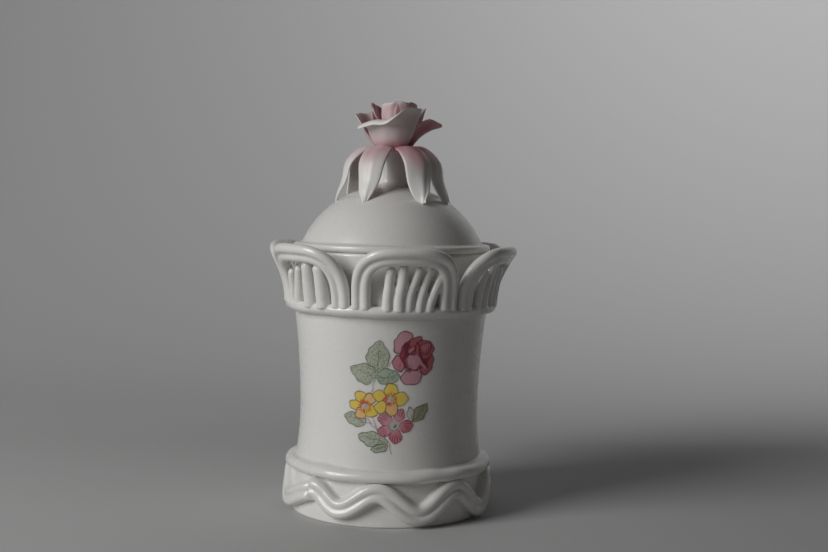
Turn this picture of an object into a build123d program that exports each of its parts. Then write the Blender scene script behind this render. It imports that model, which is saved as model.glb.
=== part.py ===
"""Porcelain trinket box: a waisted cup with a pierced gallery, and a domed lid with a rose finial.

+Z is up and the origin is the centre of the foot, on the surface that the box stands on. The printed side
faces -Y. Lengths are in millimetres. Angles round the box are in degrees, from the printed side towards +X.
Every hand-made piece of clay is its own solid, in its own file.
"""
import os
from collections import namedtuple
from math import cos, degrees, pi, radians, sin, sqrt

from build123d import *

# Cup: a cast cylinder drawn in at the waist.
foot_flare = 2.7            # how far the foot reaches out past the waist
waist_radius = 28.5
waist_z = 31.0
skirt_curve = 85.0          # radius of the arc from the waist down to the foot coil
shoulder_curve = 240.0      # radius of the arc from the waist up to the gallery coil
cup_height = 82.3
wall = 3.0
floor_top = 5.2
foot_recess = 1.2
foot_ring = 4.6             # width of the ring that the cup stands on
rim_round = 1.0
floor_round = 3.0
foot_round = 0.6

# Coils laid round the cup.
foot_coil_z = 15.2
foot_coil_rod = 1.85        # radius of the rolled clay
foot_coil_stands = 1.0      # how far the middle of the rod lies outside the cup's wall
gallery_coil_z = 65.1
gallery_coil_rod = 1.75
gallery_coil_stands = 1.2

# Twin-rod ribbon, used for the foot wave and for the arches.
ribbon_rod = 1.6            # radius of each of the two rods
ribbon_weld = 0.2           # how far each rod is pressed into the other

# Foot wave: the angle of each crest and trough of the ribbon's middle line, and its height as a share of the way
# from the lowest that the ribbon may lie to the highest, as laid by hand.
wave_turns = (
    (-45.0, 0.918), (-27.0, 0.219), (-5.0, 0.973), (17.5, 0.068), (40.5, 1.0), (61.0, 0.0), (84.0, 0.986),
    (107.0, 0.055), (130.0, 0.973), (152.5, 0.11), (175.5, 0.959), (198.0, 0.041), (220.5, 0.986),
    (243.0, 0.082), (265.0, 0.973), (285.0, 0.11), (315.0, 0.726),
)
wave_foot_clear = 0.6       # the lowest trough's edge lies this far over the table
wave_tuck = 0.55            # the highest crest's edge is pushed this far up into the foot coil
wave_sink = 0.15            # how far the ribbon is pressed into the wall
wave_seams = (-45.0, 130.0, 315.0)   # where one strip stops and the next starts, each on a crest
wave_section_every = 2.75   # degrees
wave_joint_gap = 0.4

# Gallery.
arch_edges = (-21.5, 37.0, 98.0, 158.5, 218.5, 278.5)   # angles where neighbouring arches meet
arch_gap = 0.5              # between two arches where they meet
arch_sink = 0.9             # how far an arch's feet go into the gallery coil
arch_foot_stands = 1.6651   # how far the middle of an arch's foot lies outside the cup's rim
arch_lean = 0.03            # outward travel for each millimetre up, at the foot
arch_flare = 0.0215         # and how fast that grows with height
arch_rise = 15.1            # from the coil's top to the middle of the ribbon
arch_squareness = 3.3       # 2 is an ellipse, more is squarer
arch_sections = 41
finger_rise = 11.0          # from the coil's top to the middle of a fingertip
finger_lean = 2.2           # how far out a fingertip is from its foot
# The rods in each arch: share of the way across the opening, radius, degrees that the tip leads the foot, and
# how much shorter the rod is than finger_rise.
finger_rows = (
    (
        (0.26, 1.50, 2.0, 0.6), (0.43, 1.60, 1.5, 0.0), (0.60, 1.30, 5.0, 0.3), (0.76, 1.30, 5.5, 0.6),
        (0.92, 1.35, 6.0, 1.8),
    ),
    (
        (0.16, 1.40, 3.0, 1.6), (0.34, 1.55, 4.0, 0.4), (0.52, 1.35, 3.0, 0.0), (0.69, 1.50, 5.0, 0.2),
        (0.87, 1.40, 5.0, 1.2),
    ),
    ((0.15, 1.50, 1.0, 1.2), (0.35, 1.70, 3.0, 0.2), (0.56, 1.40, 4.0, 0.0), (0.76, 1.60, 3.0, 0.8)),
    (
        (0.14, 1.35, 3.0, 1.4), (0.31, 1.50, 2.0, 0.3), (0.50, 1.60, 4.0, 0.0), (0.68, 1.30, 5.0, 0.4),
        (0.86, 1.50, 4.0, 1.4),
    ),
    ((0.17, 1.60, 2.0, 1.0), (0.38, 1.40, 4.0, 0.2), (0.57, 1.60, 2.0, 0.0), (0.79, 1.50, 4.0, 1.0)),
    ((0.14, 1.30, 4.0, 2.6), (0.33, 1.40, 5.0, 1.4), (0.60, 1.90, 1.0, 0.2), (0.84, 2.00, -1.0, 0.8)),
)

# Lid.
lid_overhang = 0.4651       # how far the lid's rim reaches past the cup's rim
lid_rim_thickness = 2.3
lid_rim_round = 1.0
dome_set_in = 2.6           # from the rim's edge in to the foot of the dome
dome_rise = 18.8
dome_wall = 2.6
collar_clearance = 0.7
collar_wall = 2.4
collar_depth = 5.0
collar_round = 0.6

# Finial.
stem_radius = 4.8
stem_foot_radius = 7.2
stem_foot_height = 2.2
neck_rise = 11.6            # from the dome's top to where the sepals and the outer petals meet the stem
core_height = 6.0           # the cone of clay inside the rose
core_tip_radius = 2.2
sheet = 0.9                 # thickness of a petal or sepal
# Sepals: angle, how much of the width lies more on one side, how far one edge stands out, half width.
sepals = (
    (-84.0, 0.0, 0.0, 7.8),
    (-29.0, 0.0, 0.3, 7.4),
    (29.0, 0.20, -1.2, 8.0),
    (64.0, 0.0, -0.6, 7.2),
    (102.0, 0.0, -0.4, 8.6),
    (145.0, 0.0, -0.3, 9.0),
    (-172.0, 0.0, -0.3, 9.0),
    (-129.0, 0.0, -0.3, 9.0),
)
sepal_bulge_radius = 16.2
sepal_tip_radius = 19.0
sepal_neck_half = 3.0
sepal_tip_half = 1.1
sepal_bend = 9.0            # the sepal is bent across to this radius

# Petals: angle round the box, length and half width, lean from upright at the foot and below the lip, turn of
# the lip, radius that the petal is bent across to, how much longer it is on one side, how much shorter at both
# sides, and how much less the lip is turned on one side. A rolled lip turns out all along its edge, others turn
# over in the petal's own upright plane.
PetalShape = namedtuple(
    "PetalShape", "angle length half_width foot_lean lip_lean lip_turn bend longer crown flap rolled"
)
outer_petals = (
    PetalShape(-12.0, 14.0, 10.4, 58.0, 16.0, 150.0, 8.4, 0.10, 0.13, 0.92, True),
    PetalShape(84.0, 13.0, 6.2, 34.0, 58.0, 24.0, 6.8, 0.0, 0.30, 0.0, False),
    PetalShape(135.0, 14.8, 6.6, 52.0, 16.0, 16.0, 8.5, 0.0, 0.15, 0.0, False),
    PetalShape(-170.0, 14.8, 6.8, 52.0, 12.0, 16.0, 8.5, 0.0, 0.15, 0.0, False),
    PetalShape(-122.0, 14.0, 6.4, 54.0, 26.0, 12.0, 9.0, 0.0, 0.12, 0.0, False),
)
inner_petals = (
    PetalShape(58.0, 10.8, 5.0, 36.0, 10.0, 20.0, 6.0, 0.0, 0.15, 0.0, False),
    PetalShape(-104.0, 11.4, 3.6, 30.0, 16.0, 30.0, 5.0, 0.0, 0.45, 0.0, False),
    PetalShape(150.0, 10.8, 4.8, 28.0, 6.0, 20.0, 6.0, 0.0, 0.20, 0.0, False),
    PetalShape(5.0, 10.6, 5.0, 30.0, 6.0, 14.0, 5.5, 0.05, 0.15, 0.0, False),
)
outer_petal_foot_radius = 4.8
inner_petal_foot_radius = 2.9
inner_petal_lift = 4.0      # height of the inner petals' feet over the neck
petal_tilt = 1.2            # one edge stands out by this much, so that it laps the next petal
petal_foot_share = 0.45     # a petal's foot, as a share of its half width
petal_lip_starts = 0.58
heart_turns = 1.5
heart_inner_radius = 0.6
heart_pitch = 1.3
heart_height = 9.4
heart_lift = 5.2

# Worked out from the sizes above.
rim_radius = waist_radius + shoulder_curve - sqrt(shoulder_curve**2 - (gallery_coil_z - waist_z) ** 2)
mouth_radius = rim_radius - wall
collar_radius = mouth_radius - collar_clearance
ribbon_half_pitch = ribbon_rod - ribbon_weld
ribbon_reach = ribbon_rod + ribbon_half_pitch
foot_radius = waist_radius + foot_flare
wave_low_z = wave_foot_clear + ribbon_reach
wave_high_z = foot_coil_z - foot_coil_rod + wave_tuck - ribbon_reach
arch_foot_radius = rim_radius + arch_foot_stands
lid_rim_radius = rim_radius + lid_overhang
dome_base_radius = lid_rim_radius - dome_set_in
lid_top_of_rim = cup_height + lid_rim_thickness
neck_z = lid_top_of_rim + dome_rise + neck_rise
dome_radius = (dome_base_radius**2 + dome_rise**2) / (2 * dome_rise)
dome_centre_z = lid_top_of_rim + dome_rise - dome_radius
gallery_coil_top = gallery_coil_z + gallery_coil_rod


def round_box(angle, radius, z):
    """A point at an angle round the box."""
    a = radians(angle)
    return Vector(radius * sin(a), -radius * cos(a), z)


def section(x, z):
    """A point of a turned outline."""
    return Vector(x, 0, z)


def cup_radius(z):
    """Outer radius of the cup at a height."""
    if z >= gallery_coil_z:
        return rim_radius
    if z >= waist_z:
        return waist_radius + shoulder_curve - sqrt(shoulder_curve**2 - (z - waist_z) ** 2)
    if z >= foot_coil_z:
        return waist_radius + skirt_curve - sqrt(skirt_curve**2 - (z - waist_z) ** 2)
    above_foot = z / foot_coil_z
    return foot_radius + (cup_radius(foot_coil_z) - foot_radius) * above_foot


def dome_z(radius):
    """Height of the dome's outside at a radius."""
    return dome_centre_z + sqrt(dome_radius**2 - radius**2)


def wall_arc(low, high, inset):
    """The stretch of the waisted wall between two heights, moved in by inset."""
    heights = (low, (low + high) / 2, high)
    return ThreePointArc(*[section(cup_radius(z) - inset, z) for z in heights])


def turned(*edges):
    """A solid turned from a closed outline."""
    return revolve(make_face(edges), Axis.Z)


def between(start, end, share):
    return start + (end - start) * share


def pulled(start, pull, end, share):
    """A smooth value that starts and ends at the given ones and is pulled towards a third between them."""
    return start * (1 - share) ** 2 + 2 * pull * share * (1 - share) + end * share**2


def make_cup():
    skirt_top = section(cup_radius(foot_coil_z), foot_coil_z)
    outside = turned(
        Line(section(0, 0), section(foot_radius, 0)),
        Line(section(foot_radius, 0), skirt_top),
        wall_arc(foot_coil_z, waist_z, 0),
        wall_arc(waist_z, gallery_coil_z, 0),
        Line(section(rim_radius, gallery_coil_z), section(rim_radius, cup_height)),
        Line(section(rim_radius, cup_height), section(0, cup_height)),
        Line(section(0, cup_height), section(0, 0)),
    )
    low_inside = cup_radius(foot_coil_z) - wall
    inside = turned(
        Line(section(0, floor_top), section(low_inside, floor_top)),
        Line(section(low_inside, floor_top), section(low_inside, foot_coil_z)),
        wall_arc(foot_coil_z, waist_z, wall),
        wall_arc(waist_z, gallery_coil_z, wall),
        Line(section(mouth_radius, gallery_coil_z), section(mouth_radius, cup_height)),
        Line(section(mouth_radius, cup_height), section(0, cup_height)),
        Line(section(0, cup_height), section(0, floor_top)),
    )
    recess = Pos(0, 0, foot_recess / 2) * Cylinder(foot_radius - foot_ring, foot_recess)
    cup = outside - inside - recess
    circles = cup.edges().filter_by(GeomType.CIRCLE)
    rim = circles.filter_by(lambda e: abs(e.center().Z - cup_height) < 0.01)
    cup = fillet(rim, rim_round)
    circles = cup.edges().filter_by(GeomType.CIRCLE)
    cup = fillet(circles.filter_by(lambda e: abs(e.center().Z - floor_top) < 0.01), floor_round)
    circles = cup.edges().filter_by(GeomType.CIRCLE)
    return fillet(circles.filter_by(lambda e: abs(e.center().Z) < 0.01), foot_round)


def make_coil(z, rod, stands, cup):
    """A coil laid round the cup, with its back pressed flat against the wall."""
    return Pos(0, 0, z) * Torus(cup_radius(z) + stands, rod) - cup


def ribbon(point, outward, shares):
    """A twin-rod ribbon lofted through sections across the line that point gives at each share."""
    step = 1e-4
    sections = []
    for share in shares:
        along = (point(share + step) - point(share - step)).normalized()
        side = along.cross(outward(share)).normalized()
        plane = Plane(origin=point(share), x_dir=side, z_dir=along)
        left, right = (Pos(x, 0) * Circle(ribbon_rod) for x in (-ribbon_half_pitch, ribbon_half_pitch))
        rods = left + right
        sections.append((plane * rods).face())
    return loft(sections)


def wave_height(angle):
    """Height of the foot wave's middle line: it swings evenly from each turn to the next."""
    for (start, low), (end, high) in zip(wave_turns, wave_turns[1:]):
        if angle <= end:
            break
    share = between(low, high, (1 - cos(pi * (angle - start) / (end - start))) / 2)
    return between(wave_low_z, wave_high_z, share)


def make_wave(first_angle, last_angle):
    """One strip of the foot wave, from crest to crest."""

    def point(share):
        angle = between(first_angle, last_angle, share)
        z = wave_height(angle)
        return round_box(angle, cup_radius(z) + ribbon_rod - wave_sink, z)

    def outward(share):
        return round_box(between(first_angle, last_angle, share), 1, 0)

    count = round((last_angle - first_angle) / wave_section_every)
    return ribbon(point, outward, [i / count for i in range(count + 1)])


def arch_radius(z):
    """Distance of the arch's middle surface from the axis at a height."""
    up = z - gallery_coil_top
    return arch_foot_radius + arch_lean * up + arch_flare * up * abs(up)


def arch_line(left_edge, right_edge):
    """The middle line of one arch: a function of the share along it."""
    half_ribbon = ribbon_reach + arch_gap / 2
    half_span = (right_edge - left_edge) / 2 - degrees(half_ribbon / arch_foot_radius)
    middle = (left_edge + right_edge) / 2
    rise = arch_rise + arch_sink
    power = 2 / arch_squareness

    def point(share):
        inside = min(max(share, 0.0), 1.0)
        a = pi * inside
        side = -half_span * abs(cos(a)) ** power * (1 if cos(a) >= 0 else -1)
        up = rise * abs(sin(a)) ** power - abs(share - inside) * rise
        z = gallery_coil_top - arch_sink + up
        return round_box(middle + side, arch_radius(z), z)

    return point


def make_arch(left_edge, right_edge):
    point = arch_line(left_edge, right_edge)

    def outward(share):
        here = point(share)
        slope = arch_lean + 2 * arch_flare * abs(here.Z - gallery_coil_top)
        return (Vector(here.X, here.Y, 0).normalized() - Vector(0, 0, slope)).normalized()

    return ribbon(point, outward, [i / (arch_sections - 1) for i in range(arch_sections)])


def make_fingers(left_edge, right_edge, row):
    """The row of short rods that fills one arch, each rounded at its free tip."""
    leg = degrees((2 * ribbon_reach + arch_gap / 2) / arch_foot_radius)
    foot_z = gallery_coil_top - arch_sink
    fingers = []
    for share, rod_radius, slant, shorter in row:
        angle = between(left_edge + leg, right_edge - leg, share) - slant / 2
        foot = round_box(angle, arch_foot_radius, foot_z)
        tip_z = gallery_coil_top + finger_rise - shorter
        tip = round_box(angle + slant, arch_foot_radius + finger_lean, tip_z)
        rod = Solid.make_cylinder(rod_radius, (tip - foot).length, Plane(origin=foot, z_dir=tip - foot))
        fingers.append((rod + Pos(tip) * Sphere(rod_radius)).solid())
    return Compound(children=fingers)


def make_lid():
    """Dome, rim and the collar that drops into the cup's mouth, cast in one."""
    collar_bottom = cup_height - collar_depth
    apex = lid_top_of_rim + dome_rise
    half_way = dome_base_radius * 0.6
    outside = turned(
        Line(section(0, collar_bottom), section(collar_radius, collar_bottom)),
        Line(section(collar_radius, collar_bottom), section(collar_radius, cup_height)),
        Line(section(collar_radius, cup_height), section(lid_rim_radius, cup_height)),
        Line(section(lid_rim_radius, cup_height), section(lid_rim_radius, lid_top_of_rim)),
        Line(section(lid_rim_radius, lid_top_of_rim), section(dome_base_radius, lid_top_of_rim)),
        ThreePointArc(
            section(dome_base_radius, lid_top_of_rim),
            section(half_way, dome_z(half_way)),
            section(0, apex),
        ),
        Line(section(0, apex), section(0, collar_bottom)),
    )
    bore = collar_radius - collar_wall
    hollow_radius = dome_radius - dome_wall
    bore_top = dome_centre_z + sqrt(hollow_radius**2 - bore**2)
    half_bore = bore * 0.6
    inside = turned(
        Line(section(0, collar_bottom), section(bore, collar_bottom)),
        Line(section(bore, collar_bottom), section(bore, bore_top)),
        ThreePointArc(
            section(bore, bore_top),
            section(half_bore, dome_centre_z + sqrt(hollow_radius**2 - half_bore**2)),
            section(0, apex - dome_wall),
        ),
        Line(section(0, apex - dome_wall), section(0, collar_bottom)),
    )
    lid = outside - inside

    def circle_at(radius, z):
        circles = lid.edges().filter_by(GeomType.CIRCLE)
        return circles.filter_by(lambda e: abs(e.radius - radius) < 0.01 and abs(e.center().Z - z) < 0.01)

    lid = fillet(circle_at(lid_rim_radius, lid_top_of_rim), lid_rim_round)
    lid = fillet(circle_at(lid_rim_radius, cup_height), lid_rim_round)
    lid = fillet(circle_at(dome_base_radius, lid_top_of_rim), lid_rim_round)
    lid = fillet(circle_at(collar_radius, collar_bottom), collar_round)
    return fillet(circle_at(bore, collar_bottom), collar_round)


def make_stem():
    """The column under the rose, with its splayed foot seated on the dome and its core inside the rose."""
    seat = dome_z(stem_foot_radius) - 1.0
    shaft_starts = dome_z(stem_foot_radius) + stem_foot_height
    column = turned(
        Line(section(0, seat), section(stem_foot_radius, seat)),
        Line(section(stem_foot_radius, seat), section(stem_foot_radius, dome_z(stem_foot_radius))),
        Spline(
            section(stem_foot_radius, dome_z(stem_foot_radius)),
            section(stem_radius, shaft_starts),
            tangents=[(-1, 0, 0.35), (0, 0, 1)],
        ),
        Line(section(stem_radius, shaft_starts), section(stem_radius, neck_z)),
        Line(section(stem_radius, neck_z), section(core_tip_radius, neck_z + core_height)),
        Line(section(core_tip_radius, neck_z + core_height), section(0, neck_z + core_height)),
        Line(section(0, neck_z + core_height), section(0, seat)),
    )
    return column - Pos(0, 0, dome_centre_z) * Sphere(dome_radius)


def thick_sheet(point, across=7, along=9):
    """A sheet of clay thickened from the surface that point(side, share) gives, side running from -1 to 1."""
    rows = [
        [point(-1 + 2 * i / (across - 1), j / (along - 1)) for j in range(along)]
        for i in range(across)
    ]
    return thicken(Face.make_surface_from_array_of_points(rows), sheet)


def across_sheet(angle, middle, along, offset, bend, tilt):
    """A point of a sheet, offset to the side of its middle line.

    middle and along are the line's point and direction in the upright plane at angle. The sheet is bent across
    to the radius bend, away from the axis if that is negative, and its edges stand out and in by tilt.
    """
    turn = offset / bend
    inward = bend * (1 - cos(turn)) - tilt
    radius = middle.X - along.Z * inward
    a = radians(angle)
    sideways = bend * sin(turn)
    x = radius * sin(a) + sideways * cos(a)
    y = sideways * sin(a) - radius * cos(a)
    return Vector(x, y, middle.Z + along.X * inward)


def make_sepal(sepal):
    """A drooping sepal: out from the neck, over, and down to the dome."""
    angle, skew, tilt, middle_half = sepal
    tip_z = dome_z(sepal_tip_radius) - 0.2
    line = Spline(
        section(stem_radius - 1.0, neck_z - 0.8),
        section(between(stem_radius, sepal_bulge_radius, 0.45), neck_z - 0.4),
        section(between(stem_radius, sepal_bulge_radius, 0.88), between(neck_z, tip_z, 0.26)),
        section(sepal_bulge_radius, between(neck_z, tip_z, 0.62)),
        section(sepal_tip_radius, tip_z),
    )

    def point(side, share):
        half = pulled(sepal_neck_half, middle_half, sepal_tip_half, share)
        offset = side * half + skew * half * 4 * share * (1 - share)
        return across_sheet(angle, line @ share, line % share, offset, -sepal_bend, side * share * tilt)

    return thick_sheet(point)


def eased(value):
    """0 below 0, 1 above 1, with an easy start and end between."""
    t = min(max(value, 0.0), 1.0)
    return t * t * (3 - 2 * t)


def make_petal(foot_radius_here, foot_z, shape):
    """A petal that rises from its foot, leans as told and turns its lip outward."""
    steps = 24

    def lean(share, side):
        past_lip = max(0.0, share - petal_lip_starts) / (1 - petal_lip_starts)
        turn = shape.lip_turn * (1 - shape.flap * eased((side + 0.1) / 0.7))
        steady = between(shape.foot_lean, shape.lip_lean, min(share / petal_lip_starts, 1))
        return radians(steady + turn * (past_lip if shape.rolled else past_lip**1.5))

    def climb(share, side):
        """The middle line's point at a share, for the length that the petal has at this side."""
        length = shape.length * (1 - shape.crown * side * side + shape.longer * side)
        middle = section(foot_radius_here, foot_z)
        for k in range(steps):
            here = lean(share * (k + 0.5) / steps, side)
            middle += section(sin(here), cos(here)) * (length * share / steps)
        return middle

    def point(side, share):
        middle = climb(share, side)
        half = shape.half_width * between(petal_foot_share, 1.0, sin(min(share * 1.3, 1.0) * pi / 2))
        bend = between(foot_radius_here + 0.6, shape.bend, eased(share * 1.6))
        if not shape.rolled:
            along = section(sin(lean(share, side)), cos(lean(share, side)))
            return across_sheet(shape.angle, middle, along, side * half, bend, side * share * petal_tilt)
        lip_root = climb(min(share, petal_lip_starts), side)
        turn = side * half / bend
        reach = bend + middle.X - lip_root.X
        out, sideways = lip_root.X - bend + reach * cos(turn), reach * sin(turn)
        a = radians(shape.angle)
        return Vector(out * sin(a) + sideways * cos(a), -out * cos(a) + sideways * sin(a), middle.Z)

    return thick_sheet(point, across=9 if shape.rolled else 7, along=11 if shape.rolled else 9)


def make_heart():
    """The rolled bud in the middle of the rose."""
    foot_z = neck_z + heart_lift

    def point(side, share):
        turn = heart_turns * (side + 1) / 2
        radius = heart_inner_radius + heart_pitch * turn + 0.5 * share
        edge = 1 - 0.14 * turn
        return round_box(360 * turn, radius, foot_z + heart_height * share * edge)

    return thick_sheet(point, across=21, along=4)


def make_all():
    cup = make_cup()
    nodes = {
        "cup": cup,
        "foot_coil": make_coil(foot_coil_z, foot_coil_rod, foot_coil_stands, cup),
        "gallery_coil": make_coil(gallery_coil_z, gallery_coil_rod, gallery_coil_stands, cup),
        "lid": make_lid(),
        "finial_stem": make_stem(),
        "rose_heart": make_heart(),
    }
    half_gap = degrees(wave_joint_gap / 2 / foot_radius)
    strips = zip(("foot_wave_right", "foot_wave_left"), wave_seams, wave_seams[1:])
    for name, start, end in strips:
        nodes[name] = make_wave(start + half_gap, end - half_gap)
    edges = list(arch_edges) + [arch_edges[0] + 360]
    for i, (left_edge, right_edge, row) in enumerate(zip(edges, edges[1:], finger_rows), 1):
        nodes[f"gallery_arch_{i}"] = make_arch(left_edge, right_edge)
        nodes[f"gallery_fingers_{i}"] = make_fingers(left_edge, right_edge, row)
    for i, sepal in enumerate(sepals, 1):
        nodes[f"sepal_{i}"] = make_sepal(sepal)
    for i, petal in enumerate(outer_petals, 1):
        nodes[f"outer_petal_{i}"] = make_petal(outer_petal_foot_radius, neck_z, petal)
    for i, petal in enumerate(inner_petals, 1):
        nodes[f"inner_petal_{i}"] = make_petal(inner_petal_foot_radius, neck_z + inner_petal_lift, petal)
    return nodes


os.makedirs("parts", exist_ok=True)
for name, shape in make_all().items():
    export_step(shape, f"parts/{name}.step")
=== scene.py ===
from math import atan2, cos, degrees, exp, pi, radians, sin, sqrt

import bmesh
import bpy
import numpy as np
from mathutils import Euler, Matrix, Vector, noise


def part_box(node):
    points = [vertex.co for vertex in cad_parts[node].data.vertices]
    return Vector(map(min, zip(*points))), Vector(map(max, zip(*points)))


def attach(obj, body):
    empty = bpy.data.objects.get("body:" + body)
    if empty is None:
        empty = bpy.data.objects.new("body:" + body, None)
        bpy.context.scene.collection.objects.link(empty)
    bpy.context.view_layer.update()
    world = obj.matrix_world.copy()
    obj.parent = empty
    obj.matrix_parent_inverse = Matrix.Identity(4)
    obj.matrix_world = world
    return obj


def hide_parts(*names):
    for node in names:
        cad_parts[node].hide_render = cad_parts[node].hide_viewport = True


# Looks of the porcelain trinket box. +Z is up, the printed side faces -Y, and angles round the box are in
# degrees from the printed side towards +X. Lengths are in millimetres until a mesh is made.
MM = 0.001

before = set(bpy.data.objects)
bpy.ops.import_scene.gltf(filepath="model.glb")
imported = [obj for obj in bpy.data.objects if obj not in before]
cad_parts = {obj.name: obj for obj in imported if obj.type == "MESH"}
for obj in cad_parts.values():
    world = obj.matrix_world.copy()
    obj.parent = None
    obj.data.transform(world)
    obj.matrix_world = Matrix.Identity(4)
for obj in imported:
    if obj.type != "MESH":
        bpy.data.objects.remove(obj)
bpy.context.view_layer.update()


def top_of(node):
    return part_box(node)[1][2] / MM


def middle_z(node):
    low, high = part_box(node)
    return (low[2] + high[2]) / 2 / MM


def outer_radius(node):
    low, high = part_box(node)
    return (high[0] - low[0]) / 2 / MM


# Driving sizes that the frame doesn't hold, the same as the CAD model's.
WAIST_RADIUS = 28.5
WAIST_Z = 31.0
SKIRT_CURVE = 85.0
SHOULDER_CURVE = 240.0
FOOT_COIL_ROD = 1.85
GALLERY_COIL_ROD = 1.75
NECK_Z = 115.0
DOME_BASE_RADIUS = 28.8
DOME_RISE = 18.8
RIM_THICKNESS = 2.3
FOOT_COIL_STANDS = 1.0
GALLERY_COIL_STANDS = 1.2

CUP_HEIGHT = top_of("cup")
FOOT_COIL_Z = middle_z("foot_coil")
GALLERY_COIL_Z = middle_z("gallery_coil")
GALLERY_COIL_TOP = top_of("gallery_coil")
COIL_RING_GALLERY = outer_radius("gallery_coil") - GALLERY_COIL_ROD
FOOT_RADIUS = outer_radius("cup")
DOME_RADIUS = (DOME_BASE_RADIUS**2 + DOME_RISE**2) / (2 * DOME_RISE)
DOME_CENTRE_Z = CUP_HEIGHT + RIM_THICKNESS + DOME_RISE - DOME_RADIUS


def cup_radius(z):
    """Outer radius of the cup at a height."""
    if z >= GALLERY_COIL_Z:
        return cup_radius(GALLERY_COIL_Z - 1e-6)
    if z >= WAIST_Z:
        return WAIST_RADIUS + SHOULDER_CURVE - sqrt(SHOULDER_CURVE**2 - (z - WAIST_Z) ** 2)
    if z >= FOOT_COIL_Z:
        return WAIST_RADIUS + SKIRT_CURVE - sqrt(SKIRT_CURVE**2 - (z - WAIST_Z) ** 2)
    share = max(z, 0) / FOOT_COIL_Z
    return FOOT_RADIUS + (cup_radius(FOOT_COIL_Z) - FOOT_RADIUS) * share


def dome_z(radius):
    return DOME_CENTRE_Z + sqrt(DOME_RADIUS**2 - radius**2)


def between(start, end, share):
    return start + (end - start) * share


def clamp(value, low=0.0, high=1.0):
    return min(max(value, low), high)


def smooth(value):
    """0 below 0, 1 above 1, with an easy start and end between."""
    t = clamp(value)
    return t * t * (3 - 2 * t)


def wander(x, y=0.0, z=0.0):
    """Smooth noise from about -1 to 1, the same each run."""
    return noise.noise(Vector((x + 11.3, y + 4.7, z + 7.9)))


def round_box(angle, radius, z):
    a = radians(angle)
    return np.array((radius * sin(a), -radius * cos(a), z))


def unit(v):
    return v / np.linalg.norm(v)


# ---------------------------------------------------------------- meshes

def add_piece(name, points, faces, material, body, replaced=()):
    """A shaded mesh piece from points in millimetres, riding on a body."""
    mesh = bpy.data.meshes.new(name)
    mesh.from_pydata([tuple(p) for p in np.asarray(points) * MM], [], faces)
    mesh.validate()
    work = bmesh.new()
    work.from_mesh(mesh)
    bmesh.ops.recalc_face_normals(work, faces=work.faces)
    work.to_mesh(mesh)
    work.free()
    mesh.materials.append(material)
    piece = bpy.data.objects.new(name, mesh)
    bpy.context.scene.collection.objects.link(piece)
    mesh.shade_smooth()
    finish_piece(piece, body, replaced)
    return piece


def finish_piece(piece, body, replaced):
    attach(piece, body)
    if replaced:
        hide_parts(*replaced)


def tube_faces(rings, ring_size, closed, first=0):
    """Faces between rings of points. closed joins the last ring to the first, else both ends are capped."""
    faces = []
    for i in range(rings if closed else rings - 1):
        here, after = first + i * ring_size, first + (i + 1) % rings * ring_size
        for j in range(ring_size):
            k = (j + 1) % ring_size
            faces.append((here + j, here + k, after + k, after + j))
    if not closed:
        faces.append(tuple(range(first + ring_size - 1, first - 1, -1)))
        last = first + (rings - 1) * ring_size
        faces.append(tuple(range(last, last + ring_size)))
    return faces


def melt(name, parts, voxel, rounds, material, body, replaced):
    """One piece from closed parts that run into each other, their joints softened as by glaze."""
    points, faces = [], []
    for part_points, part_faces in parts:
        first = len(points)
        points.extend(part_points)
        faces.extend(tuple(first + i for i in face) for face in part_faces)
    piece = add_piece(name, points, faces, material, body, replaced)
    remesh = piece.modifiers.new("remesh", "REMESH")
    remesh.mode = "VOXEL"
    remesh.voxel_size = voxel * MM
    remesh.use_smooth_shade = True
    soften = piece.modifiers.new("soften", "SMOOTH")
    soften.factor = 0.5
    soften.iterations = rounds
    depsgraph = bpy.context.evaluated_depsgraph_get()
    mesh = bpy.data.meshes.new_from_object(piece.evaluated_get(depsgraph))
    piece.modifiers.clear()
    old = piece.data
    piece.data = mesh
    bpy.data.meshes.remove(old)
    mesh.name = name
    mesh.shade_smooth()
    return piece


# ---------------------------------------------------------------- materials

GLAZE_WHITE = (0.80, 0.79, 0.765)
GLAZE_WARM = (0.79, 0.778, 0.75)
SPECK_BROWN = (0.12, 0.10, 0.09)
BLUSH_PINK = (0.50, 0.135, 0.19)
# How rough the glaze is where it is glossiest and dullest, on the smooth wares and on the pressed sheets.
GLOSSY = (0.20, 0.34)
SATIN = (0.36, 0.48)
PINHOLE_SIZE = 0.035    # as a share of a cell, whose edge is about 8 mm
PINHOLE_SHARE = 0.045   # of the cells that hold one


def node(tree, kind, **values):
    made = tree.nodes.new(kind)
    for name, value in values.items():
        if hasattr(made, name):
            setattr(made, name, value)
        else:
            made.inputs[name.replace("_", " ")].default_value = value
    return made


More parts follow.
